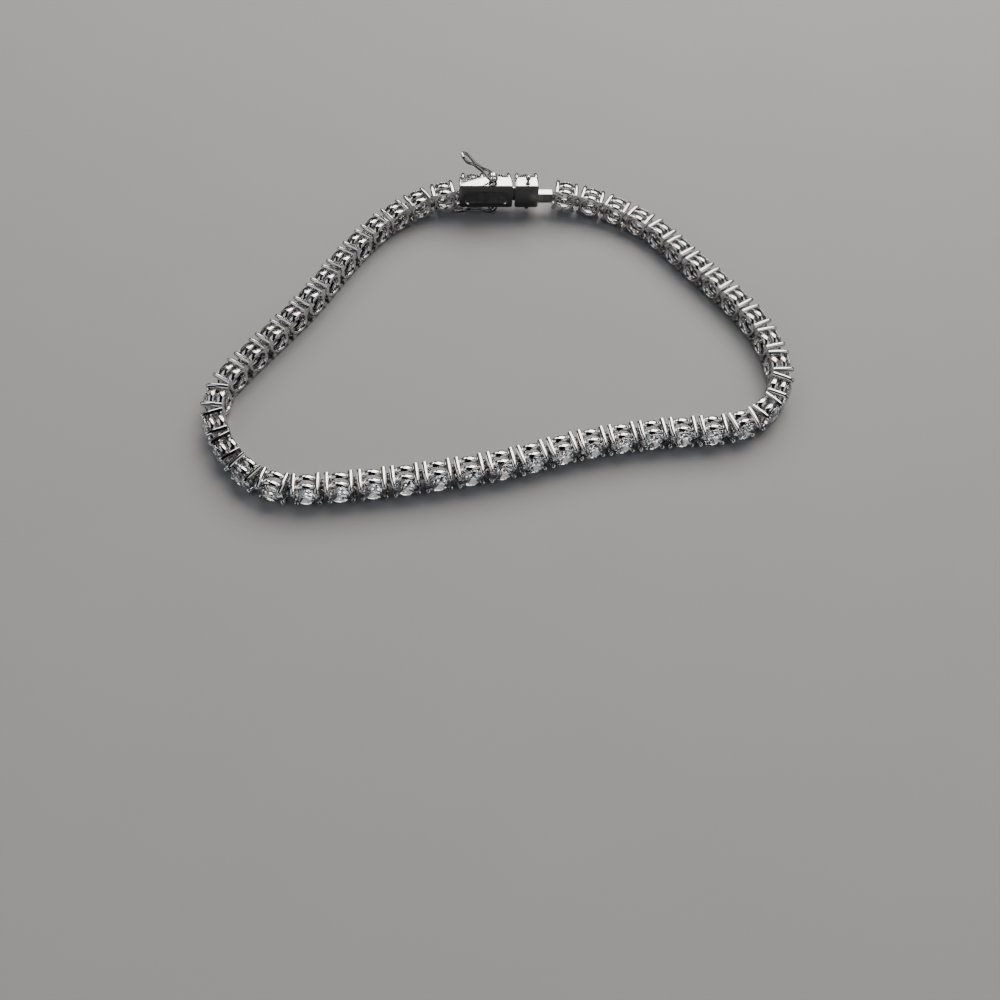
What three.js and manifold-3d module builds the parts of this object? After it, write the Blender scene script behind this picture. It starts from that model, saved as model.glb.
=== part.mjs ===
// A tennis bracelet with a box clasp, standing on its long edge as a closed loop.
// Millimetres, +Z up. Each link is a four-prong basket holding one round stone that faces
// outward. Origin: the centre of the bracelet's bounding box, at the surface it stands on.
import * as THREE from "three";
import * as BufferGeometryUtils from "three/addons/utils/BufferGeometryUtils.js";
import Module from "manifold-3d";

const wasm = await Module();
wasm.setup();

// ---- driving dimensions -------------------------------------------------------------
const linkCount = 46;
const linkPitch = 3.9;            // from hinge to hinge
const leanDegrees = 1.2;          // the baskets taper, so they lean back on their edge

// In a link's own frame x runs along the chain, y outward along the stone's axis, z up.
const stone = {
  girdleRadius: 1.62, tableRadius: 0.92, girdleY: 1.42, crownHeight: 0.6,
  pavilionDepth: 1.54, sides: 8,
};
const basket = {
  backY: -0.89, backWidth: 0.55, backInner: 1.08, backRadius: 1.68,   // ring at the wrist
  footAt: 1.38, shoulderAt: 1.45, tipAt: 1.12,      // prong centres, along x and along z
  footSink: 0.1, shoulderY: 1.55, tipY: 2.16, prongHalf: 0.27, tipHalf: 0.18, ringSides: 8,
};
const hingeBar = { length: 1.5, height: 0.8, fromY: -0.7, toY: 0.65 };

// In the clasp's own frame x runs along it from its left hinge, y outward, z up from its
// middle height.
const box = { start: 0.3, end: 8.2, innerY: -1.05, outerY: 0.95, height: 3.9, corner: 0.35 };
const slot = { start: 0.8, innerY: -0.65, outerY: 0, height: 2.9 };
const panel = { start: 1.2, end: 7.6, low: -1.55, high: 0.9, depth: 0.2 };
const tongue = { headStart: 8.5, headEnd: 12.0, bladeStart: 2.2, bladeHeight: 2.3 };
const blade = { innerY: -0.45, outerY: -0.2 };
const neck = { height: 1.6, innerY: -0.65, outerY: 0.35, z: -0.6 };
const claspStones = {
  centres: [2.3, 6.25, 10.25], outward: 0.45, seatInner: 1.36, seatOuter: 1.7, rimY: 1.32,
};
const sink = 0.2;                 // how far a joined piece reaches into the next
const claspLift = 1.35;           // the clasp stands on its lower catch, above the floor
const latch = {
  pivotX: 5.3, catchX: 10.4, y: -0.05, height: 0.6, wire: 0.45, width: 2.0, waist: 1.0,
  knuckleRadius: 0.7, knuckleHole: 0.42, knuckleWidth: 0.6, ballRadius: 0.4,
  stemRadius: 0.22, eye: 1.4, upperOpen: 138, lowerOpen: 176,
};
const catchGap = 0.25;             // round the ball, inside the latch's eye

// Where the row of hinges runs, clockwise seen from above, from the clasp's right end to
// its left end. x is to the right, y is away from the front run.
const route = [
  { x: 5.2, y: 25.0 }, { x: 9.1, y: 24.8 }, { x: 12.8, y: 24.0 }, { x: 19.4, y: 20.3 },
  { x: 24.6, y: 14.2 }, { x: 29.5, y: 8.4 }, { x: 33.7, y: 2.0 }, { x: 35.5, y: -5.5 },
  { x: 34.3, y: -9.2 }, { x: 31.7, y: -12.2 }, { x: 28.1, y: -13.8 }, { x: 20.4, y: -14.9 },
  { x: 9.0, y: -17.6 }, { x: 1.7, y: -20.4 }, { x: -9.6, y: -23.4 }, { x: -21.1, y: -25.6 },
  { x: -24.9, y: -26.0 }, { x: -28.7, y: -25.1 }, { x: -32.0, y: -22.6 },
  { x: -34.3, y: -19.5 }, { x: -35.8, y: -15.9 }, { x: -35.5, y: -12.1 },
  { x: -33.6, y: -8.7 }, { x: -27.5, y: 1.3 }, { x: -22.5, y: 11.8 },
  { x: -18.3, y: 18.4 }, { x: -12.6, y: 22.9 }, { x: -8.8, y: 23.9 },
];
// How far the hinges near the clasp are lifted, counted from the clasp outwards.
const hingeLift = [1.0, 0.55, 0.2];
// The settings are joined along their hinges into these runs, counted in links.
const runs = [6, 5, 4, 7, 7, 6, 11];

// ---- materials ----------------------------------------------------------------------
function metal(roughness) {
  return new THREE.MeshStandardMaterial({ color: 0xd9d8d6, roughness, metalness: 1 });
}
function glass() {
  return new THREE.MeshStandardMaterial({ color: 0xe9eef1, roughness: 0.04, metalness: 0 });
}

// ---- closed solids and their joins --------------------------------------------------
function toSolid(geometry) {
  const plain = geometry.index ? geometry.toNonIndexed() : geometry.clone();
  plain.deleteAttribute("normal");
  plain.deleteAttribute("uv");
  const merged = BufferGeometryUtils.mergeVertices(plain, 1e-4);
  return new wasm.Manifold(new wasm.Mesh({
    numProp: 3,
    vertProperties: new Float32Array(merged.attributes.position.array),
    triVerts: new Uint32Array(merged.index.array),
  }));
}

function toGeometry(solid) {
  const mesh = solid.getMesh();
  const geometry = new THREE.BufferGeometry();
  geometry.setAttribute("position", new THREE.BufferAttribute(mesh.vertProperties, 3));
  geometry.setIndex(new THREE.BufferAttribute(mesh.triVerts, 1));
  geometry.computeVertexNormals();
  return geometry;
}

function join(geometries) {
  return geometries.map(toSolid).reduce((whole, next) => whole.add(next));
}

function cut(solid, geometries) {
  return geometries.map(toSolid).reduce((left, tool) => left.subtract(tool), solid);
}

function block(x0, x1, y0, y1, z0, z1) {
  const geometry = new THREE.BoxGeometry(x1 - x0, y1 - y0, z1 - z0);
  return geometry.translate((x0 + x1) / 2, (y0 + y1) / 2, (z0 + z1) / 2);
}

// A solid turned about the y axis, its flats on the true radius. The profile's points are
// (radius, y).
function turned(profile, sides) {
  const grow = 1 / Math.cos(Math.PI / sides);
  const points = profile.map(([radius, y]) => new THREE.Vector2(radius * grow, y));
  return new THREE.LatheGeometry(points, sides).rotateY(Math.PI / sides);
}

function ring(y0, y1, inner, outer, sides) {
  return turned([[inner, y0], [outer, y0], [outer, y1], [inner, y1], [inner, y0]], sides);
}

// An outline in the x-z plane given a thickness along y.
function plateXZ(shape, y0, y1, curveSegments = 6) {
  const geometry = new THREE.ExtrudeGeometry(shape, {
    depth: y1 - y0, bevelEnabled: false, curveSegments,
  });
  return geometry.rotateX(Math.PI / 2).translate(0, y1, 0);
}

// A rounded outline around the rectangle given by two corners.
function roundedRectangle(x0, x1, y0, y1, radius) {
  const shape = new THREE.Shape();
  shape.absarc(x1 - radius, y1 - radius, radius, 0, Math.PI / 2);
  shape.absarc(x0 + radius, y1 - radius, radius, Math.PI / 2, Math.PI);
  shape.absarc(x0 + radius, y0 + radius, radius, Math.PI, 1.5 * Math.PI);
  shape.absarc(x1 - radius, y0 + radius, radius, 1.5 * Math.PI, 2 * Math.PI);
  return shape;
}

// A bar along x whose long edges are rounded.
function roundedBar(x0, x1, y0, y1, z0, z1, radius) {
  const outline = roundedRectangle(y0, y1, z0, z1, radius);
  const geometry = new THREE.ExtrudeGeometry(outline, {
    depth: x1 - x0, bevelEnabled: false, curveSegments: 3,
  });
  geometry.rotateX(Math.PI / 2).rotateZ(Math.PI / 2);
  return geometry.translate(x0, 0, 0);
}

// ---- the settings -------------------------------------------------------------------
// One prong, in the quarter given by the signs. It flares out from its foot in the back
// ring to its shoulder beside the stone, then bends in over the crown.
function prong(signX, signZ, footY, outward) {
  const levels = [
    { y: footY, at: basket.footAt, half: basket.prongHalf },
    { y: basket.shoulderY + outward, at: basket.shoulderAt, half: basket.prongHalf },
    { y: basket.tipY + outward, at: basket.tipAt, half: basket.tipHalf },
  ];
  const spans = levels.length - 1;
  const geometry = new THREE.BoxGeometry(1, 1, 1, 1, spans, 1);
  const position = geometry.attributes.position;
  for (let i = 0; i < position.count; i += 1) {
    const level = levels[Math.round((position.getY(i) + 0.5) * spans)];
    const x = signX * level.at + Math.sign(position.getX(i)) * level.half;
    const z = signZ * level.at + Math.sign(position.getZ(i)) * level.half;
    position.setXYZ(i, x, level.y, z);
  }
  return geometry;
}

function prongs(footY, outward) {
  const corners = [[1, 1], [1, -1], [-1, 1], [-1, -1]];
  return corners.map(([signX, signZ]) => prong(signX, signZ, footY, outward));
}

function basketPieces() {
  const { backY, backWidth, backInner, backRadius, footSink, ringSides } = basket;
  const back = ring(backY, backY + backWidth, backInner, backRadius, ringSides);
  return [back, ...prongs(backY + footSink, 0)];
}

// The bar that carries the hinge between a basket and the next one, centred on the hinge.
function hingePiece(reach) {
  const { length, height, fromY, toY } = hingeBar;
  return block(-length / 2, reach, fromY, toY, -height / 2, height / 2);
}

function stoneGeometry(outward = 0) {
  const { girdleRadius, tableRadius, crownHeight, pavilionDepth, sides } = stone;
  const girdle = stone.girdleY + outward;
  const profile = [
    [0, girdle - pavilionDepth], [girdleRadius, girdle],
    [tableRadius, girdle + crownHeight], [0, girdle + crownHeight],
  ];
  return toGeometry(toSolid(turned(profile, sides)));
}

// ---- the loop of hinges -------------------------------------------------------------
function walk(points, pitch) {
  const steps = [points[0].clone()];
  for (const point of points) {
    const last = steps[steps.length - 1];
    if (point.distanceTo(last) >= pitch && steps.length <= linkCount) {
      steps.push(point.clone().sub(last).setLength(pitch).add(last));
    }
  }
  return steps;
}

// Equal chords are stepped along the route. The chord is narrowed down until the last one
// ends at the clasp, and the whole loop is then scaled to make that chord the link pitch.
function layHinges() {
  const plan = route.map(({ x, y }) => new THREE.Vector3(x, y, 0));
  const points = new THREE.CatmullRomCurve3(plan, false, "centripetal").getSpacedPoints(4000);
  let short = linkPitch * 0.9;
  let long = linkPitch * 1.1;
  for (let i = 0; i < 30; i += 1) {
    const middle = (short + long) / 2;
    if (walk(points, middle).length > linkCount) short = middle;
    else long = middle;
  }
  return walk(points, short).map((hinge) => hinge.multiplyScalar(linkPitch / short));
}

// A frame whose x runs from one hinge to the next, with y outward, tipped up by the tilt.
function frameBetween(from, to, tilt) {
  const along = to.clone().sub(from).normalize();
  const level = new THREE.Vector3(-along.y, along.x, 0).normalize();
  const outward = level.multiplyScalar(Math.cos(tilt));
  outward.z = Math.sin(tilt);
  const up = along.clone().cross(outward).normalize();
  return new THREE.Matrix4().makeBasis(along, up.clone().cross(along), up);
}

const lean = THREE.MathUtils.degToRad(leanDegrees);
// The leaning back rings stand on the floor, and the hinges run at their middle height.
const hingeHeight = basket.backRadius * Math.cos(lean) - basket.backY * Math.sin(lean);
const hinges = layHinges();
hinges.forEach((hinge, i) => {
  const fromClasp = Math.min(i, linkCount - i);
  hinge.z = hingeHeight + (hingeLift[fromClasp] ?? 0);
});

const linkFrames = [];
for (let i = 0; i < linkCount; i += 1) {
  const centre = hinges[i].clone().add(hinges[i + 1]).multiplyScalar(0.5);
  linkFrames.push(frameBetween(hinges[i], hinges[i + 1], lean).setPosition(centre));
}

// ---- links and stones ---------------------------------------------------------------
const bracelet = new THREE.Group();

function addMesh(parent, name, geometry, material) {
  const mesh = new THREE.Mesh(geometry, material);
  mesh.name = name;
  parent.add(mesh);
  return mesh;
}

function linkRun(first, count) {
  const pieces = [];
  for (let i = first; i < first + count; i += 1) {
    const isLast = i === first + count - 1;
    const bar = hingePiece(isLast ? 0 : hingeBar.length / 2).translate(linkPitch / 2, 0, 0);
    for (const piece of [...basketPieces(), bar]) {
      pieces.push(piece.applyMatrix4(linkFrames[i]));
    }
  }
  return join(pieces);
}

let firstLink = 0;
runs.forEach((count, i) => {
  const geometry = toGeometry(linkRun(firstLink, count));
  addMesh(bracelet, `link_run_${i + 1}`, geometry, metal(0.16));
  firstLink += count;
});

linkFrames.forEach((frame, i) => {
  const name = `stone_${String(i + 1).padStart(2, "0")}`;
  addMesh(bracelet, name, stoneGeometry(), glass()).applyMatrix4(frame);
});

// ---- the clasp ----------------------------------------------------------------------
const clasp = new THREE.Group();
const claspLength = hinges[linkCount].distanceTo(hinges[0]);
const halfHeight = box.height / 2;
const claspOrigin = hinges[linkCount].clone().setZ(claspLift + halfHeight);
clasp.applyMatrix4(frameBetween(hinges[linkCount], hinges[0], 0).setPosition(claspOrigin));
bracelet.add(clasp);

// The ring and prongs that hold one of the clasp's own stones, and the cup cut under it.
function claspSetting(centreX) {
  const { outward, seatInner, seatOuter, rimY } = claspStones;
  const foot = box.outerY - sink;
  const seat = ring(foot, rimY, seatInner, seatOuter, basket.ringSides);
  return [seat, ...prongs(foot, outward)].map((piece) => piece.translate(centreX, 0, 0));
}

function claspCup(centreX) {
  const { outward, seatInner, rimY } = claspStones;
  const bottom = stone.girdleY - stone.pavilionDepth + outward - 0.15;
  const cup = turned([[0, bottom], [seatInner, rimY - 0.2], [seatInner, 2], [0, 2]],
    basket.ringSides);
  return cup.translate(centreX, 0, 0);
}

function knuckle(side) {
  const { pivotX, y, height, knuckleRadius, knuckleHole, knuckleWidth } = latch;
  const outline = new THREE.Shape();
  outline.absarc(pivotX, side * (halfHeight + height), knuckleRadius, 0, 2 * Math.PI);
  const hole = new THREE.Path();
  hole.absarc(pivotX, side * (halfHeight + height), knuckleHole, 0, 2 * Math.PI);
  outline.holes.push(hole);
  return plateXZ(outline, y - knuckleWidth / 2, y + knuckleWidth / 2);
}

function catchPieces(side) {
  const { catchX, y, height, ballRadius, stemRadius } = latch;
  const stem = new THREE.CylinderGeometry(stemRadius, stemRadius, height + sink, 8);
  stem.rotateX(Math.PI / 2).translate(catchX, y, side * (halfHeight + (height - sink) / 2));
  const ball = new THREE.IcosahedronGeometry(ballRadius, 1);
  return [stem, ball.translate(catchX, y, side * (halfHeight + height))];
}

function claspBox() {
  const body = roundedBar(box.start, box.end, box.innerY, box.outerY,
    -halfHeight, halfHeight, box.corner);
  const settings = claspStones.centres.slice(0, 2).flatMap(claspSetting);
  const solid = join([body, ...settings, knuckle(1), knuckle(-1)]);
  const cavity = block(slot.start, box.end + 1, slot.innerY, slot.outerY,
    -slot.height / 2, slot.height / 2);
  const outline = roundedRectangle(panel.start, panel.end, panel.low, panel.high, 0.8);
  const recess = plateXZ(outline, box.innerY - 1, box.innerY + panel.depth);
  const cups = claspStones.centres.slice(0, 2).map(claspCup);
  return cut(solid, [cavity, recess, ...cups]);
}

function claspTongue() {
  const head = roundedBar(tongue.headStart, tongue.headEnd, box.innerY, box.outerY,
    -halfHeight, halfHeight, box.corner);
  const bladeBar = block(tongue.bladeStart, tongue.headStart + 0.3, blade.innerY, blade.outerY,
    -tongue.bladeHeight / 2, tongue.bladeHeight / 2);
  const neckBar = block(tongue.headEnd - 0.3, claspLength, neck.innerY, neck.outerY,
    neck.z - neck.height / 2, neck.z + neck.height / 2);
  const centreX = claspStones.centres[2];
  const pieces = [head, bladeBar, neckBar, ...claspSetting(centreX)];
  const solid = join([...pieces, ...catchPieces(1), ...catchPieces(-1)]);
  return cut(solid, [claspCup(centreX)]);
}

addMesh(clasp, "clasp_box", toGeometry(claspBox()), metal(0.12));
addMesh(clasp, "clasp_tongue", toGeometry(claspTongue()), metal(0.12));
claspStones.centres.forEach((centreX, i) => {
  const geometry = stoneGeometry(claspStones.outward).translate(centreX, 0, 0);
  addMesh(clasp, `clasp_stone_${i + 1}`, geometry, glass());
});

// ---- the two safety latches ---------------------------------------------------------
// A figure of eight lying along x from its pivot. The knuckle passes through the first
// eye, and the second snaps over the ball of the catch.
function latchGeometry() {
  const { pivotX, catchX, wire, width, waist, eye } = latch;
  const reach = catchX - pivotX;
  const half = width / 2;
  const end = reach + latch.ballRadius + catchGap + wire;
  const outline = new THREE.Shape();
  outline.moveTo(-wire / 2, half * 0.8);
  outline.lineTo(-wire / 2, -half * 0.8);
  outline.quadraticCurveTo(-wire / 2, -half, wire, -half);
  outline.bezierCurveTo(eye + 0.6, -half, eye, -waist / 2, eye + 0.9, -waist / 2);
  outline.bezierCurveTo(reach - 1.6, -waist / 2, end - 1.2, -half, end - 0.6, -half * 0.8);
  outline.quadraticCurveTo(end, -half * 0.5, end, 0);
  outline.quadraticCurveTo(end, half * 0.5, end - 0.6, half * 0.8);
  outline.bezierCurveTo(end - 1.2, half, reach - 1.6, waist / 2, eye + 0.9, waist / 2);
  outline.bezierCurveTo(eye, waist / 2, eye + 0.6, half, wire, half);
  outline.quadraticCurveTo(-wire / 2, half, -wire / 2, half * 0.8);
  const pivotEye = roundedRectangle(wire / 2, eye, wire - half, half - wire, 0.2);
  const catchEye = new THREE.Path();
  catchEye.absellipse(reach, 0, latch.ballRadius + catchGap, half - wire * 0.85, 0, 2 * Math.PI);
  outline.holes.push(pivotEye, catchEye);
  const geometry = new THREE.ExtrudeGeometry(outline, {
    depth: wire, bevelEnabled: false, curveSegments: 3,
  });
  return geometry.translate(0, 0, -wire / 2);
}

function addLatch(name, side, openDegrees) {
  const mesh = addMesh(clasp, name, latchGeometry(), metal(0.12));
  mesh.position.set(latch.pivotX, latch.y, side * (halfHeight + latch.height));
  mesh.rotation.y = -side * THREE.MathUtils.degToRad(openDegrees);
}

addLatch("upper_latch", 1, latch.upperOpen);
addLatch("lower_latch", -1, latch.lowerOpen);

// ---- the origin: under the middle of the whole bracelet, on the floor ----------------
const bounds = new THREE.Box3().setFromObject(bracelet, true);
const middle = bounds.getCenter(new THREE.Vector3());
bracelet.position.set(-middle.x, -middle.y, -bounds.min.z);

export default bracelet;
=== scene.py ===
import math

import bmesh
import bpy
from mathutils import Matrix, Vector


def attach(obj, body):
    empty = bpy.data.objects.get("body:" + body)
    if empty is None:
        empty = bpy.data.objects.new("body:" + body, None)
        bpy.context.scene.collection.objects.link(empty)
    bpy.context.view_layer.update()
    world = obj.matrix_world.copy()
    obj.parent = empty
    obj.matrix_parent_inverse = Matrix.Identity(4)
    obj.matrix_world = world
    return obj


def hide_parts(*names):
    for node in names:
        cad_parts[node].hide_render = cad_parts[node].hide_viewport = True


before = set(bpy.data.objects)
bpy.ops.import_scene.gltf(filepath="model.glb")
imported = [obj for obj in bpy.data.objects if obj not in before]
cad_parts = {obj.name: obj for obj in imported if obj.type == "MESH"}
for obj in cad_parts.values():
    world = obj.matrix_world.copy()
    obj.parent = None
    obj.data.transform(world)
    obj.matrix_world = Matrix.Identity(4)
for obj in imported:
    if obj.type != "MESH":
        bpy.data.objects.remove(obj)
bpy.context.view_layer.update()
mm = 0.001
print("frame loaded")


# ---- the camera comes first
cameraValues = {
    "focalPixels": 793.0,      # focal length for a frame 1000 wide
    "distance": 96.6 * mm,
    "elevation": 61.78,        # degrees above the floor
    "roll": 3.28,
    "target": (0.255 * mm, -24.945 * mm, 0.0),
    "sensor": 36.0,
}


def addCamera(values):
    data = bpy.data.cameras.new("camera")
    data.sensor_fit = "HORIZONTAL"
    data.sensor_width = values["sensor"]
    data.lens = values["focalPixels"] / 1000 * values["sensor"]
    data.clip_start = 0.002
    data.clip_end = 20
    camera = bpy.data.objects.new("camera", data)
    bpy.context.scene.collection.objects.link(camera)
    rise = math.radians(values["elevation"])
    back = Vector((0, -math.cos(rise), math.sin(rise))) * values["distance"]
    place = Matrix.Translation(Vector(values["target"]) + back)
    tilt = Matrix.Rotation(math.radians(90) - rise, 4, "X")
    camera.matrix_world = place @ tilt @ Matrix.Rotation(math.radians(values["roll"]), 4, "Z")
    bpy.context.scene.camera = camera


addCamera(cameraValues)


# ---- node trees, for shaders and for geometry


class Value:
    # An output socket; arithmetic on it adds Math nodes.
    def __init__(self, tree, socket):
        self.tree = tree
        self.socket = socket

    def math(self, operation, *values):
        numbered = dict(enumerate(values))
        return self.tree.node("ShaderNodeMath", {"operation": operation}, numbered)

    def __add__(self, other):
        return self.math("ADD", self, other)

    def __radd__(self, other):
        return self.math("ADD", other, self)

    def __sub__(self, other):
        return self.math("SUBTRACT", self, other)

    def __rsub__(self, other):
        return self.math("SUBTRACT", other, self)

    def __mul__(self, other):
        return self.math("MULTIPLY", self, other)

    def __rmul__(self, other):
        return self.math("MULTIPLY", other, self)

    def __truediv__(self, other):
        return self.math("DIVIDE", self, other)

    def __rtruediv__(self, other):
        return self.math("DIVIDE", other, self)

    def __pow__(self, other):
        return self.math("POWER", self, other)


class Tree:
    def __init__(self, nodeTree):
        self.nodeTree = nodeTree

    def feed(self, target, value):
        if isinstance(value, Value):
            self.nodeTree.links.new(value.socket, target)
        elif value is not None:
            target.default_value = value

    # Settings are set first; inputs are named or numbered; out picks the output.
    def node(self, kind, settings=None, inputs=None, out=0):
        made = self.nodeTree.nodes.new(kind)
        for name, value in (settings or {}).items():
            if name == "stops":
                self.setStops(made.color_ramp, value)
            else:
                setattr(made, name, value)
        for name, value in (inputs or {}).items():
            values = value if isinstance(value, list) else [value]
            for single in values:
                self.feed(made.inputs[name], single)
        return Value(self, made.outputs[out])

    def setStops(self, ramp, stops):
        while len(ramp.elements) > 1:
            ramp.elements.remove(ramp.elements[-1])
        for i, (position, level) in enumerate(stops):
            stop = ramp.elements[0] if i == 0 else ramp.elements.new(position)
            stop.position = position
            stop.color = (level, level, level, 1) if isinstance(level, (int, float)) else level


class Shader(Tree):
    def __init__(self, name):
        self.material = bpy.data.materials.new(name)
        self.material.use_nodes = True
        super().__init__(self.material.node_tree)
        self.surface = self.nodeTree.nodes["Principled BSDF"]
        self.place = self.node("ShaderNodeTexCoord", out="Object")

    def set(self, **values):
        for name, value in values.items():
            self.feed(self.surface.inputs[name.replace("_", " ")], value)

    def stretched(self, scale, turn=(0, 0, 0)):
        inputs = {"Vector": self.place, "Scale": scale, "Rotation": turn}
        return self.node("ShaderNodeMapping", {}, inputs)

    def noise(self, scale, detail=3.0, vector=None):
        inputs = {"Vector": vector or self.place, "Scale": scale, "Detail": detail}
        return self.node("ShaderNodeTexNoise", {}, inputs)

    def ramp(self, value, low, high):
        inputs = {"Value": value, "From Min": low, "From Max": high}
        return self.node("ShaderNodeMapRange", {"clamp": True}, inputs)

    def mixed(self, factor, first, second):
        inputs = {0: factor, 6: first, 7: second}
        return self.node("ShaderNodeMix", {"data_type": "RGBA"}, inputs, out=2)


# Rhodium-plated silver: mirror polish, a little cloudy, with hairline wear.
def polishedSilver(name, wear, paintedShadeStrength=0.0):
    metal = Shader(name)
    cloud = metal.noise(260, 4)
    fineCloud = metal.noise(1500, 3)
    hairs = metal.noise(900, 2, metal.stretched((1, 14, 3), (0.4, 0.9, 0.2)))
    crossHairs = metal.noise(1100, 2, metal.stretched((16, 2, 1), (1.1, 0.3, 0.8)))
    lines = metal.ramp(hairs, 0.62, 0.7) + metal.ramp(crossHairs, 0.64, 0.72)
    # Grime and painted shade: hollows are painted a darker brown for the shade that gathers there, and made rougher
    # as grime.
    cavity = metal.node("ShaderNodeNewGeometry", out="Pointiness")
    grimeAndPaintedShade = metal.ramp(0.5 - cavity, 0.0, 0.08) * metal.ramp(fineCloud, 0.3, 0.7)
    bright = metal.mixed(metal.ramp(cloud, 0.35, 0.7), (0.66, 0.645, 0.64, 1), (0.56, 0.55, 0.55, 1))
    # Painted shade: faces that turn towards the wrist are painted near black, in patches, standing in for the dark
    # reflection they show.
    normal = metal.node("ShaderNodeNewGeometry", out="Normal")
    dot = {0: normal, 1: (0.078, -0.997, 0)}
    inward = metal.node("ShaderNodeVectorMath", {"operation": "DOT_PRODUCT"}, dot, out="Value")
    paintedShadeMask = metal.ramp(inward, 0.55, 0.9) * paintedShadeStrength * metal.ramp(cloud, 0.0, 0.5)
    bright = metal.mixed(paintedShadeMask, bright, (0.07, 0.07, 0.075, 1))
    # The base colour takes in the painted shade in the hollows, along with grime.
    metal.set(Base_Color=metal.mixed(grimeAndPaintedShade, bright, (0.30, 0.28, 0.26, 1)))
    metal.set(Metallic=1.0, Roughness=0.03 + wear * cloud * 0.07 + lines * wear * 0.07 + grimeAndPaintedShade * 0.2)
    bump = {"Height": lines * -0.5 + fineCloud * 0.2, "Strength": 0.12 * wear, "Distance": 0.02 * mm}
    metal.set(Normal=metal.node("ShaderNodeBump", {}, bump))
    return metal.material


# Clear stones, cut and polished, with a few smears of wear.
def clearStone(name):
    gem = Shader(name)
    haze = gem.ramp(gem.noise(420, 3), 0.45, 0.75)
    gem.set(Base_Color=gem.mixed(haze, (0.985, 0.99, 1.0, 1), (0.93, 0.94, 0.96, 1)))
    gem.set(Roughness=0.005 + haze * 0.05, Metallic=0.0, IOR=2.1, Transmission_Weight=1.0)
    return gem.material


silverFinish = polishedSilver("polished silver", 1.0)
# The clasp's finish has painted shade, at strength 0.95, on its faces that turn towards the wrist.
claspFinish = polishedSilver("clasp silver", 1.2, 0.95)
stoneFinish = clearStone("clear stone")
print("finishes made")


# ---- where the links are, read from the CAD stones
linkValues = {
    "count": 46,
    "girdleY": 1.42 * mm,      # from the hinge line out to the girdle
    "runs": (6, 5, 4, 7, 7, 6, 11),
    "pitch": 3.9 * mm,
}


def stoneFrame(nodeName, girdleY):
    points = {tuple(round(c, 8) for c in v.co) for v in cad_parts[nodeName].data.vertices}
    points = [Vector(p) for p in points]
    middle = sum(points, Vector()) / len(points)
    # The culet is the point that lies furthest from its nearest neighbour.
    culet = max(points, key=lambda p: sorted((p - q).length for q in points)[1])
    outward = (middle - culet).normalized()
    far = sorted(points, key=lambda p: -(p - culet).cross(outward).length)[:8]
    girdle = sum(far, Vector()) / len(far)
    topPair = sorted(far, key=lambda p: -p.z)[:2]
    up = (topPair[0] + topPair[1]) / 2 - girdle
    up = (up - outward * up.dot(outward)).normalized()
    along = outward.cross(up)
    matrix = Matrix((along, outward, up)).transposed().to_4x4()
    return Matrix.Translation(girdle - outward * girdleY) @ matrix


linkFrames = [stoneFrame(f"stone_{i + 1:02d}", linkValues["girdleY"]) for i in range(linkValues["count"])]
print("link frames read", len(linkFrames))


# ---- geometry helpers
class Geometry(Tree):
    def __init__(self, name, inputs):
        group = bpy.data.node_groups.new(name, "GeometryNodeTree")
        super().__init__(group)
        face = group.interface
        face.new_socket("Geometry", in_out="INPUT", socket_type="NodeSocketGeometry")
        self.identifiers = {}
        for label, (kind, default) in inputs.items():
            socket = face.new_socket(label, in_out="INPUT", socket_type=kind)
            if default is not None:
                socket.default_value = default
            self.identifiers[label] = socket.identifier
        face.new_socket("Geometry", in_out="OUTPUT", socket_type="NodeSocketGeometry")
        self.entry = group.nodes.new("NodeGroupInput")

    def given(self, label):
        return Value(self, self.entry.outputs[label])

    def vector(self, x, y, z):
        return self.node("ShaderNodeCombineXYZ", {}, {"X": x, "Y": y, "Z": z})

    def moved(self, geometry, translation=None, rotation=None, scale=None):
        inputs = {"Geometry": geometry, "Translation": translation, "Rotation": rotation, "Scale": scale}
        inputs = {name: value for name, value in inputs.items() if value is not None}
        return self.node("GeometryNodeTransform", {}, inputs)

    def joined(self, pieces):
        return self.node("GeometryNodeJoinGeometry", {}, {"Geometry": pieces})

    def finish(self, geometry, material, smooth=True):
        shaded = self.node("GeometryNodeSetShadeSmooth", {}, {"Geometry": geometry, "Shade Smooth": smooth})
        real = self.node("GeometryNodeRealizeInstances", {}, {"Geometry": shaded})
        done = self.node("GeometryNodeSetMaterial", {}, {"Geometry": real, "Material": material})
        out = self.nodeTree.nodes.new("NodeGroupOutput")
        self.nodeTree.links.new(done.socket, out.inputs["Geometry"])


def newObject(name, mesh):
    made = bpy.data.objects.new(name, mesh)
    bpy.context.scene.collection.objects.link(made)
    return made


# Runs the tree on the object and keeps the result as a plain mesh.
def grown(name, carrier, tree, values):
    modifier = carrier.modifiers.new("grow", "NODES")
    modifier.node_group = tree.nodeTree
    for label, value in values.items():
        modifier[tree.identifiers[label]] = value
    graph = bpy.context.evaluated_depsgraph_get()
    mesh = bpy.data.meshes.new_from_object(carrier.evaluated_get(graph))
    carrier.modifiers.remove(modifier)
    bpy.data.objects.remove(carrier)
    outwards = bmesh.new()
    outwards.from_mesh(mesh)
    bmesh.ops.remove_doubles(outwards, verts=outwards.verts, dist=1e-7)
    bmesh.ops.recalc_face_normals(outwards, faces=outwards.faces)
    outwards.to_mesh(mesh)
    outwards.free()
    return newObject(name, mesh)


# One setting in its own frame: x along the chain, y outward, z up.
settingValues = {
    "Back Radius": 1.4, "Back Wire": 0.28, "Back Width": 0.5, "Back Y": -0.4,
    "Rail Radius": 1.44, "Rail Wire": 0.23, "Rail Width": 0.42, "Rail Y": 0.8,
    "Side": 1.41, "Foot": 1.31, "Tip": 1.04, "Foot Y": -0.9, "Tip Y": 1.95,
    "Prong Radius": 0.37, "Knuckle Radius": 0.36, "Knuckle Height": 1.5, "Hinge X": 1.95,
}


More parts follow.
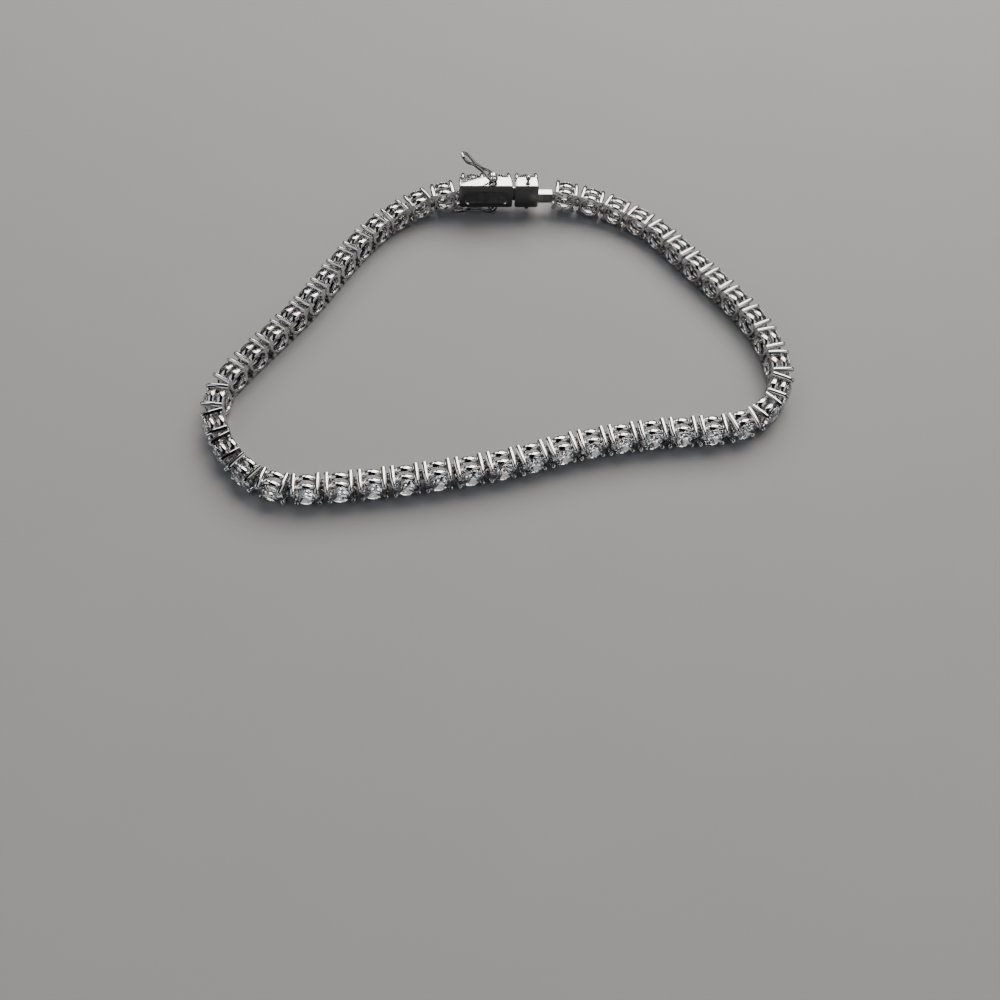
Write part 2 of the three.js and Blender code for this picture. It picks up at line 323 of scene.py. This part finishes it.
def settingTree(material, hinged):
    inputs = {label: ("NodeSocketFloat", value * mm) for label, value in settingValues.items()}
    tree = Geometry("setting", inputs)
    get = tree.given

    def ring(name, ringSteps=40, wireSteps=12):
        path = {"Resolution": ringSteps, "Radius": get(name + " Radius")}
        circle = tree.node("GeometryNodeCurvePrimitiveCircle", {}, path)
        section = {"Resolution": wireSteps, "Radius": get(name + " Wire")}
        section = tree.node("GeometryNodeCurvePrimitiveCircle", {}, section)
        widen = tree.vector(1, get(name + " Width") / get(name + " Wire"), 1)
        section = tree.moved(section, None, None, widen)
        band = {"Curve": circle, "Profile Curve": section}
        band = tree.node("GeometryNodeCurveToMesh", {}, band)
        return tree.moved(band, tree.vector(0, get(name + " Y"), 0), (math.pi / 2, 0, 0))

    def prong():
        side, foot, tip = get("Side"), get("Foot"), get("Tip")
        footY, tipY = get("Foot Y"), get("Tip Y")
        lift = tipY - footY
        points = {
            "Start": tree.vector(side, footY, foot),
            "Start Handle": tree.vector(side * 1.01, footY + lift * 0.5, foot * 1.01),
            "End Handle": tree.vector(side * 1.01, footY + lift * 0.8, foot),
            "End": tree.vector(side * 0.95, tipY, tip),
            "Resolution": 26,
        }
        path = tree.node("GeometryNodeCurvePrimitiveBezierSegment", {}, points)
        path = tree.node("GeometryNodeResampleCurve", {}, {"Curve": path, "Count": 26})
        t = tree.node("GeometryNodeSplineParameter", {}, {})
        end = t.math("MAXIMUM", (t - 0.86) / 0.14, 0.0)
        width = t.math("SQRT", 1.01 - end * end)
        sectionInputs = {"Resolution": 12, "Radius": get("Prong Radius")}
        section = tree.node("GeometryNodeCurvePrimitiveCircle", {}, sectionInputs)
        inputs = {"Curve": path, "Profile Curve": section, "Scale": width, "Fill Caps": True}
        return tree.node("GeometryNodeCurveToMesh", {}, inputs)

    one = prong()
    corners = ((1, 1), (-1, 1), (1, -1), (-1, -1))
    pieces = [tree.moved(one, None, None, (x, 1, z)) for x, z in corners]
    pieces.append(ring("Rail"))
    if hinged:
        pieces.append(ring("Back"))
        reach = get("Hinge X")
        height = get("Knuckle Height")
        barrel = {"Vertices": 20, "Radius": get("Knuckle Radius"), "Depth": height}
        knuckle = tree.node("GeometryNodeMeshCylinder", {}, barrel)
        pinSize = {"Vertices": 16, "Radius": get("Knuckle Radius") * 0.5, "Depth": height * 1.16}
        pin = tree.node("GeometryNodeMeshCylinder", {}, pinSize)
        size = tree.vector(0.8 * mm, 0.5 * mm, height * 0.8)
        plate = tree.node("GeometryNodeMeshCube", {}, {"Size": size})
        level = get("Back Y") + 0.2 * mm
        pieces.append(tree.moved(tree.joined([knuckle, pin]), tree.vector(reach, level, 0)))
        for side in (-1, 1):
            pieces.append(tree.moved(plate, tree.vector(reach * 0.78 * side, level, 0)))
    tree.finish(tree.joined(pieces), material)
    return tree


# Puts copies of one part on the points of a mesh, turned by the points' own axes.
def placingTree(material, smooth):
    tree = Geometry("place on links", {"Part": ("NodeSocketObject", None)})
    readVector = {"data_type": "FLOAT_VECTOR"}
    along = tree.node("GeometryNodeInputNamedAttribute", readVector, {"Name": "along"})
    outward = tree.node("GeometryNodeInputNamedAttribute", readVector, {"Name": "outward"})
    axes = {"primary_axis": "Y", "secondary_axis": "X"}
    turnInputs = {"Primary Axis": outward, "Secondary Axis": along}
    turn = tree.node("FunctionNodeAxesToRotation", axes, turnInputs)
    part = tree.node("GeometryNodeObjectInfo", {}, {"Object": tree.given("Part")}, out="Geometry")
    inputs = {"Points": tree.given("Geometry"), "Instance": part, "Rotation": turn}
    tree.finish(tree.node("GeometryNodeInstanceOnPoints", {}, inputs), material, smooth)
    return tree


def pointsAt(name, frames):
    mesh = bpy.data.meshes.new(name)
    mesh.from_pydata([matrix.translation for matrix in frames], [], [])
    for label, column in (("along", 0), ("outward", 1)):
        layer = mesh.attributes.new(label, "FLOAT_VECTOR", "POINT")
        for i, matrix in enumerate(frames):
            layer.data[i].vector = matrix.col[column].to_3d()
    return newObject(name, mesh)


def emptyMesh(name):
    return newObject(name, bpy.data.meshes.new(name))


# ---- settings, one piece for each run of links
settingPattern = grown("settingPattern", emptyMesh("seed"), settingTree(silverFinish, True), {})
placeSettings = placingTree(silverFinish, True)
first = 0
for run, count in enumerate(linkValues["runs"]):
    carrier = pointsAt("carrier", linkFrames[first:first + count])
    piece = grown(f"settings_{run + 1}", carrier, placeSettings, {"Part": settingPattern})
    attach(piece, "bracelet")
    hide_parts(f"link_run_{run + 1}")
    first += count
print("settings placed")


# ---- stones: a round brilliant cut, as the hull of its corners
cutValues = {
    "radius": 1.65 * mm, "table": 0.56, "crown": 0.302, "pavilion": 0.862, "girdle": 0.035,
    "starRadius": 0.80, "lowerRadius": 0.24,
}


def brilliantMesh(values, girdleY):
    radius = values["radius"]
    corners = []

    def circle(count, offset, r, height):
        for k in range(count):
            turn = 2 * math.pi * (k + offset) / count
            corners.append(Vector((r * math.cos(turn), height, r * math.sin(turn))) * radius)

    half = math.cos(math.pi / 8)
    top = values["girdle"] / 2
    starDrop = (1 - values["starRadius"] * half) / (1 - values["table"])
    lowerDrop = 1 - values["lowerRadius"] * half
    circle(8, 0, values["table"], top + values["crown"])
    circle(8, 0.5, values["starRadius"], top + values["crown"] * starDrop)
    circle(16, 0, 1, top)
    circle(16, 0, 1, -top)
    circle(8, 0.5, values["lowerRadius"], -top - values["pavilion"] * lowerDrop)
    corners.append(Vector((0, -top - values["pavilion"], 0)) * radius)
    shape = bmesh.new()
    for corner in corners:
        shape.verts.new(corner + Vector((0, girdleY, 0)))
    bmesh.ops.convex_hull(shape, input=shape.verts)
    bmesh.ops.dissolve_limit(shape, angle_limit=math.radians(0.4), verts=shape.verts, edges=shape.edges)
    bmesh.ops.recalc_face_normals(shape, faces=shape.faces)
    mesh = bpy.data.meshes.new("brilliant")
    shape.to_mesh(mesh)
    shape.free()
    return mesh


stonePattern = newObject("stonePattern", brilliantMesh(cutValues, linkValues["girdleY"]))
placeStones = placingTree(stoneFinish, False)
stones = grown("stones", pointsAt("carrier", linkFrames), placeStones, {"Part": stonePattern})
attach(stones, "bracelet")
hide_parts(*[f"stone_{i + 1:02d}" for i in range(linkValues["count"])])
print("stones placed")

bpy.data.objects.remove(settingPattern)


# ---- the clasp, in its own frame: x along it from its left hinge, y outward, z up
claspValues = {
    "centres": (2.3 * mm, 6.25 * mm, 10.25 * mm),     # of its three stones
    "stoneOut": 0.45 * mm,     # its stones sit this much further out than the links'
    "innerY": -1.05 * mm, "outerY": 0.95 * mm, "halfHeight": 1.95 * mm,
    "box": (0.3 * mm, 8.2 * mm), "head": (8.5 * mm, 12.0 * mm), "corner": 0.35 * mm,
    "edge": 0.16 * mm,         # rounding of the edges
    "panel": (1.1 * mm, 7.55 * mm, -1.5 * mm, 0.85 * mm), "panelDepth": 0.2 * mm,
    "cavity": (0.8 * mm, 9 * mm, -0.65 * mm, 0.0, 1.45 * mm),
    "blade": (2.2 * mm, 8.7 * mm, -0.45 * mm, -0.2 * mm, 1.15 * mm),
    "neck": (11.8 * mm, 14.11 * mm, -0.65 * mm, 0.35 * mm, 0.8 * mm), "neckZ": -0.6 * mm,
}


class Shape:
    # A mesh being put together from closed bodies.
    def __init__(self):
        self.bmesh = bmesh.new()

    # Skins a stack of outlines with the same number of corners, and caps both ends.
    def skin(self, outlines):
        rows = [[self.bmesh.verts.new(corner) for corner in outline] for outline in outlines]
        for row, following in zip(rows, rows[1:]):
            for i in range(len(row)):
                j = (i + 1) % len(row)
                self.bmesh.faces.new((row[i], row[j], following[j], following[i]))
        self.bmesh.faces.new(rows[0])
        self.bmesh.faces.new(rows[-1])

    # Spins a closed outline of (radius, height) corners round the y or z axis.
    def spun(self, profile, centre, axis="Y", steps=28):
        rows = []
        for k in range(steps):
            turn = 2 * math.pi * k / steps
            c, s = math.cos(turn), math.sin(turn)
            if axis == "Y":
                row = [Vector((r * c, height, r * s)) for r, height in profile]
            else:
                row = [Vector((r * c, r * s, height)) for r, height in profile]
            rows.append([self.bmesh.verts.new(corner + Vector(centre)) for corner in row])
        for k in range(steps):
            row, following = rows[k], rows[(k + 1) % steps]
            for i in range(len(row)):
                j = (i + 1) % len(row)
                self.bmesh.faces.new((row[i], row[j], following[j], following[i]))

    def block(self, x0, x1, y0, y1, halfHeight, z=0.0, edge=0.05 * mm):
        self.skin(rounded(x0, x1, z - halfHeight, z + halfHeight, edge * 2, y0, y1, edge))

    def object(self, name, matrix, material, smoothAngle=18):
        bmesh.ops.remove_doubles(self.bmesh, verts=self.bmesh.verts, dist=1e-8)
        bmesh.ops.recalc_face_normals(self.bmesh, faces=self.bmesh.faces)
        mesh = bpy.data.meshes.new(name)
        self.bmesh.to_mesh(mesh)
        self.bmesh.free()
        mesh.transform(matrix)
        mesh.materials.append(material)
        mesh.shade_smooth()
        mesh.set_sharp_from_angle(angle=math.radians(smoothAngle))
        return newObject(name, mesh)


# The corners of a rounded rectangle in the plane at y.
def outlineAt(x0, x1, z0, z1, radius, y, steps=6):
    corners = []
    radius = max(radius, 1e-6)
    middles = ((x1 - radius, z1 - radius, 0), (x0 + radius, z1 - radius, 1),
               (x0 + radius, z0 + radius, 2), (x1 - radius, z0 + radius, 3))
    for x, z, quarter in middles:
        for k in range(steps + 1):
            turn = math.pi / 2 * (quarter + k / steps)
            corners.append(Vector((x + radius * math.cos(turn), y, z + radius * math.sin(turn))))
    return corners


# The stack of outlines for a block with rounded corners and edges.
def rounded(x0, x1, z0, z1, corner, y0, y1, edge, steps=4):
    outlines = []
    for end, direction in ((y0, 1), (y1, -1)):
        arc = range(steps + 1) if direction == 1 else range(steps, -1, -1)
        for k in arc:
            turn = math.pi / 2 * k / steps
            inset = edge * (1 - math.sin(turn))
            y = end + direction * edge * (1 - math.cos(turn))
            outlines.append(outlineAt(x0 + inset, x1 - inset, z0 + inset, z1 - inset, corner - inset, y))
    return outlines


# Cuts closed bodies out of a closed body and keeps the result as a plain mesh.
def carved(target, cutters, smoothAngle=18):
    for cutter in cutters:
        modifier = target.modifiers.new("cut", "BOOLEAN")
        modifier.operation = "DIFFERENCE"
        modifier.solver = "EXACT"
        modifier.object = cutter
    graph = bpy.context.evaluated_depsgraph_get()
    mesh = bpy.data.meshes.new_from_object(target.evaluated_get(graph))
    target.modifiers.clear()
    target.data = mesh
    mesh.shade_smooth()
    mesh.set_sharp_from_angle(angle=math.radians(smoothAngle))
    for cutter in cutters:
        bpy.data.objects.remove(cutter)
    return target


def joinedPiece(name, objects, body, nodes):
    shape = bmesh.new()
    for single in objects:
        shape.from_mesh(single.data)
    mesh = objects[0].data.copy()
    shape.to_mesh(mesh)
    shape.free()
    mesh.name = name
    for single in objects:
        bpy.data.objects.remove(single)
    piece = newObject(name, mesh)
    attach(piece, body)
    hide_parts(*nodes)
    return piece


claspFrame = stoneFrame("clasp_stone_1", linkValues["girdleY"] + claspValues["stoneOut"])
claspFrame = claspFrame @ Matrix.Translation((-claspValues["centres"][0], 0, 0))
stonePlaces = [claspFrame @ Matrix.Translation((x, 0, 0)) for x in claspValues["centres"]]

# The latches fold over a ball above and below the tongue.
latchValues = {
    "pivotX": 5.3 * mm, "catchX": 10.4 * mm, "y": -0.05 * mm, "height": 0.6 * mm,
    "wire": 0.22 * mm, "knuckle": (0.4 * mm, 0.7 * mm, 0.3 * mm),
    "ball": 0.4 * mm, "stem": 0.2 * mm,
    "upperOpen": 138, "lowerOpen": 176,
    "loop": (                  # half of the bent wire's centre line, from its pivot bar
        (0.0, 0.5), (0.06, 0.7), (0.3, 0.8), (0.75, 0.79), (1.25, 0.68), (1.75, 0.42),
        (2.3, 0.27), (2.9, 0.25), (3.5, 0.27), (4.05, 0.45), (4.55, 0.68), (5.05, 0.78),
        (5.5, 0.66), (5.86, 0.36), (5.97, 0.0),
    ),
}


def claspSettings(name, centres, foot):
    tree = settingTree(claspFinish, False)
    out = claspValues["stoneOut"] / mm
    values = {"Foot Y": foot, "Tip Y": settingValues["Tip Y"] + out, "Rail Y": 1.25, "Rail Width": 0.3}
    values = {label: value * mm for label, value in values.items()}
    pattern = grown("claspSettingPattern", emptyMesh("seed"), tree, values)
    placing = placingTree(claspFinish, True)
    frames = [claspFrame @ Matrix.Translation((x, 0, 0)) for x in centres]
    made = grown(name, pointsAt("carrier", frames), placing, {"Part": pattern})
    bpy.data.objects.remove(pattern)
    return made


def cupCutter(centreX):
    bottom = -0.05 * mm
    profile = [(0.02 * mm, bottom), (1.3 * mm, 0.9 * mm), (1.3 * mm, 1.6 * mm), (0.02 * mm, 1.6 * mm)]
    cup = Shape()
    cup.skin([[Vector((centreX + r * math.cos(math.tau * k / 32), y, r * math.sin(math.tau * k / 32)))
               for k in range(32)] for r, y in profile])
    return cup.object("cup", claspFrame, claspFinish)


def ballProfile(radius, steps=14):
    arc = [math.pi * k / steps - math.pi / 2 for k in range(steps + 1)]
    return [(max(radius * math.cos(turn), 1e-6), radius * math.sin(turn)) for turn in arc]


def claspBox(values, latch):
    body = Shape()
    half = values["halfHeight"]
    start, end = values["box"]
    stack = rounded(start, end, -half, half, values["corner"], values["innerY"], values["outerY"], values["edge"])
    x0, x1, z0, z1 = values["panel"]
    depth = values["panelDepth"]
    sunk = []
    for inset, sink in ((0, 0), (0.3, 0.1), (0.7, 0.55), (0.9, 0.9), (1.4, 1)):
        d = inset * depth
        sunk.append(outlineAt(x0 + d, x1 - d, z0 + d, z1 - d, 0.8 * mm - d, values["innerY"] + sink * depth))
    body.skin(sunk[::-1] + stack)
    made = body.object("claspBody", claspFrame, claspFinish)
    c0, c1, y0, y1, halfCavity = values["cavity"]
    cavity = Shape()
    cavity.block(c0, c1, y0, y1, halfCavity)
    cutters = [cavity.object("cavity", claspFrame, claspFinish)]
    cutters += [cupCutter(x) for x in values["centres"][:2]]
    made = carved(made, cutters)
    fittings = Shape()
    inner, outerRadius, halfWidth = latch["knuckle"]
    bevel = 0.06 * mm
    profile = [(inner, -halfWidth + bevel), (inner + bevel, -halfWidth), (outerRadius - bevel, -halfWidth),
               (outerRadius, -halfWidth + bevel), (outerRadius, halfWidth - bevel),
               (outerRadius - bevel, halfWidth), (inner + bevel, halfWidth), (inner, halfWidth - bevel)]
    for side in (-1, 1):
        fittings.spun(profile, (latch["pivotX"], latch["y"], side * (half + latch["height"])))
    fittings = fittings.object("fittings", claspFrame, claspFinish)
    settings = claspSettings("claspSettings", values["centres"][:2], 0.75)
    return joinedPiece("clasp_box_body", [made, fittings, settings], "bracelet", ["clasp_box"])


def claspTongue(values, latch):
    half = values["halfHeight"]
    head = Shape()
    start, end = values["head"]
    head.skin(rounded(start, end, -half, half, values["corner"], values["innerY"], values["outerY"], values["edge"]))
    made = carved(head.object("claspHead", claspFrame, claspFinish), [cupCutter(values["centres"][2])])
    parts = Shape()
    parts.block(*values["blade"])
    parts.block(*values["neck"], z=values["neckZ"])
    for side in (-1, 1):
        foot, top = side * (half - 0.2 * mm), side * (half + latch["height"])
        stem = [(1e-6, foot), (latch["stem"], foot), (latch["stem"], top), (1e-6, top)]
        parts.spun(stem, (latch["catchX"], latch["y"], 0), "Z")
        parts.spun(ballProfile(latch["ball"]), (latch["catchX"], latch["y"], top), "Z")
    parts = parts.object("claspFittings", claspFrame, claspFinish)
    settings = claspSettings("tongueSetting", values["centres"][2:], 0.75)
    return joinedPiece("clasp_tongue_body", [made, parts, settings], "bracelet", ["clasp_tongue"])


claspBox(claspValues, latchValues)
claspTongue(claspValues, latchValues)
claspStonePlaces = [place @ Matrix.Translation((0, claspValues["stoneOut"], 0)) for place in stonePlaces]
claspStones = grown("clasp_stones", pointsAt("carrier", claspStonePlaces), placeStones, {"Part": stonePattern})
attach(claspStones, "bracelet")
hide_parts(*[f"clasp_stone_{i + 1}" for i in range(3)])
bpy.data.objects.remove(stonePattern)
print("clasp built")


# ---- latches: a figure of eight bent from round wire
def wireTree(material):
    tree = Geometry("wire", {"Wire Radius": ("NodeSocketFloat", latchValues["wire"])})
    path = tree.node("GeometryNodeMeshToCurve", {}, {"Mesh": tree.given("Geometry")})
    section = {"Resolution": 14, "Radius": tree.given("Wire Radius")}
    section = tree.node("GeometryNodeCurvePrimitiveCircle", {}, section)
    wire = tree.node("GeometryNodeCurveToMesh", {}, {"Curve": path, "Profile Curve": section})
    tree.finish(wire, material)
    return tree


def smoothLoop(points, between=6):
    made = []
    count = len(points)
    for i in range(count):
        before, here, there, beyond = (points[(i + k) % count] for k in (-1, 0, 1, 2))
        for k in range(between):
            t = k / between
            weights = (-t + 2 * t ** 2 - t ** 3, 2 - 5 * t ** 2 + 3 * t ** 3,
                       t + 4 * t ** 2 - 3 * t ** 3, t ** 3 - t ** 2)
            made.append(sum((p * w / 2 for p, w in zip((before, here, there, beyond), weights)), Vector()))
    return made


def addLatch(name, side, openDegrees, values):
    halfLoop = [Vector((x * mm, y * mm, 0)) for x, y in values["loop"]]
    otherHalf = [Vector((p.x, -p.y, 0)) for p in reversed(halfLoop[:-1])]
    loop = smoothLoop(halfLoop + otherHalf)
    mesh = bpy.data.meshes.new(name)
    mesh.from_pydata(loop, [(i, (i + 1) % len(loop)) for i in range(len(loop))], [])
    pivot = (values["pivotX"], values["y"], side * (claspValues["halfHeight"] + values["height"]))
    turn = Matrix.Rotation(math.radians(-side * openDegrees), 4, "Y")
    mesh.transform(claspFrame @ Matrix.Translation(pivot) @ turn)
    latch = grown(name + "_wire", newObject(name, mesh), wireTree(claspFinish), {})
    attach(latch, name)
    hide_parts(name)


addLatch("upper_latch", 1, latchValues["upperOpen"], latchValues)
addLatch("lower_latch", -1, latchValues["lowerOpen"], latchValues)
print("latches bent")


# ---- the stage
def addFloor():
    mesh = bpy.data.meshes.new("floor")
    size = 1.5
    mesh.from_pydata([(-size, -size, 0), (size, -size, 0), (size, size, 0), (-size, size, 0)], [], [(0, 1, 2, 3)])
    floor = newObject("floor", mesh)
    paint = Shader("pale floor")
    tone = paint.mixed(paint.noise(60, 3), (0.274, 0.276, 0.284, 1), (0.289, 0.291, 0.299, 1))
    paint.set(Base_Color=tone, Roughness=0.75)
    mesh.materials.append(paint.material)


lampValues = {
    "key": {"place": (0.12, 0.34, 0.42), "size": 0.44, "power": 4.9, "colour": (1.0, 0.935, 0.875)},
    "back": {"place": (-0.22, 0.36, 0.30), "size": 0.14, "power": 0.5, "colour": (1.0, 0.97, 0.94)},
    "left": {"place": (-0.50, -0.10, 0.42), "size": 0.5, "power": 0.8, "colour": (0.90, 0.95, 1.0)},
    "right": {"place": (0.50, -0.12, 0.40), "size": 0.5, "power": 0.7, "colour": (0.92, 0.96, 1.0)},
    "front": {"place": (-0.10, -0.50, 0.10), "size": 0.30, "power": 0.4, "colour": (0.84, 0.92, 1.0)},
}


def addLamp(name, values):
    data = bpy.data.lights.new(name, "AREA")
    data.energy = values["power"]
    data.size = values["size"]
    data.color = values["colour"]
    lamp = newObject(name, data)
    lamp.location = values["place"]
    lamp.rotation_euler = (-Vector(values["place"])).to_track_quat("-Z", "Y").to_euler()


# Soft light from above and behind; dark where the viewer stands.
worldValues = {
    "strength": 0.28,
    "sky": [(0.0, 0.35), (0.5, 0.35), (0.56, 0.16), (0.72, 0.40), (0.9, 0.95), (1.0, 1.0)],
    "darkTowards": (0.0, -0.80, 0.60),
    "darkStart": -0.1, "darkFull": 0.4, "darkLevel": 0.03,
}


def addWorld(values):
    world = bpy.data.worlds.new("studio")
    world.use_nodes = True
    tree = Tree(world.node_tree)
    place = tree.node("ShaderNodeTexCoord", out="Generated")
    towards = tree.node("ShaderNodeVectorMath", {"operation": "DOT_PRODUCT"},
                        {0: place, 1: values["darkTowards"]}, out="Value")
    height = tree.node("ShaderNodeVectorMath", {"operation": "DOT_PRODUCT"},
                       {0: place, 1: (0, 0, 1)}, out="Value")
    sky = tree.node("ShaderNodeValToRGB", {"stops": values["sky"]}, {"Fac": height * 0.5 + 0.5})
    span = {"Value": towards, "From Min": values["darkStart"], "From Max": values["darkFull"]}
    dark = tree.node("ShaderNodeMapRange", {"clamp": True, "interpolation_type": "SMOOTHSTEP"}, span)
    level = values["darkLevel"]
    shade = {0: dark, 6: sky, 7: (level, level, level * 1.1, 1)}
    shade = tree.node("ShaderNodeMix", {"data_type": "RGBA"}, shade, out=2)
    background = world.node_tree.nodes["Background"]
    tree.feed(background.inputs["Color"], shade)
    background.inputs["Strength"].default_value = values["strength"]
    bpy.context.scene.world = world


addFloor()
for lampName, lamp in lampValues.items():
    addLamp(lampName, lamp)
addWorld(worldValues)
print("stage set")
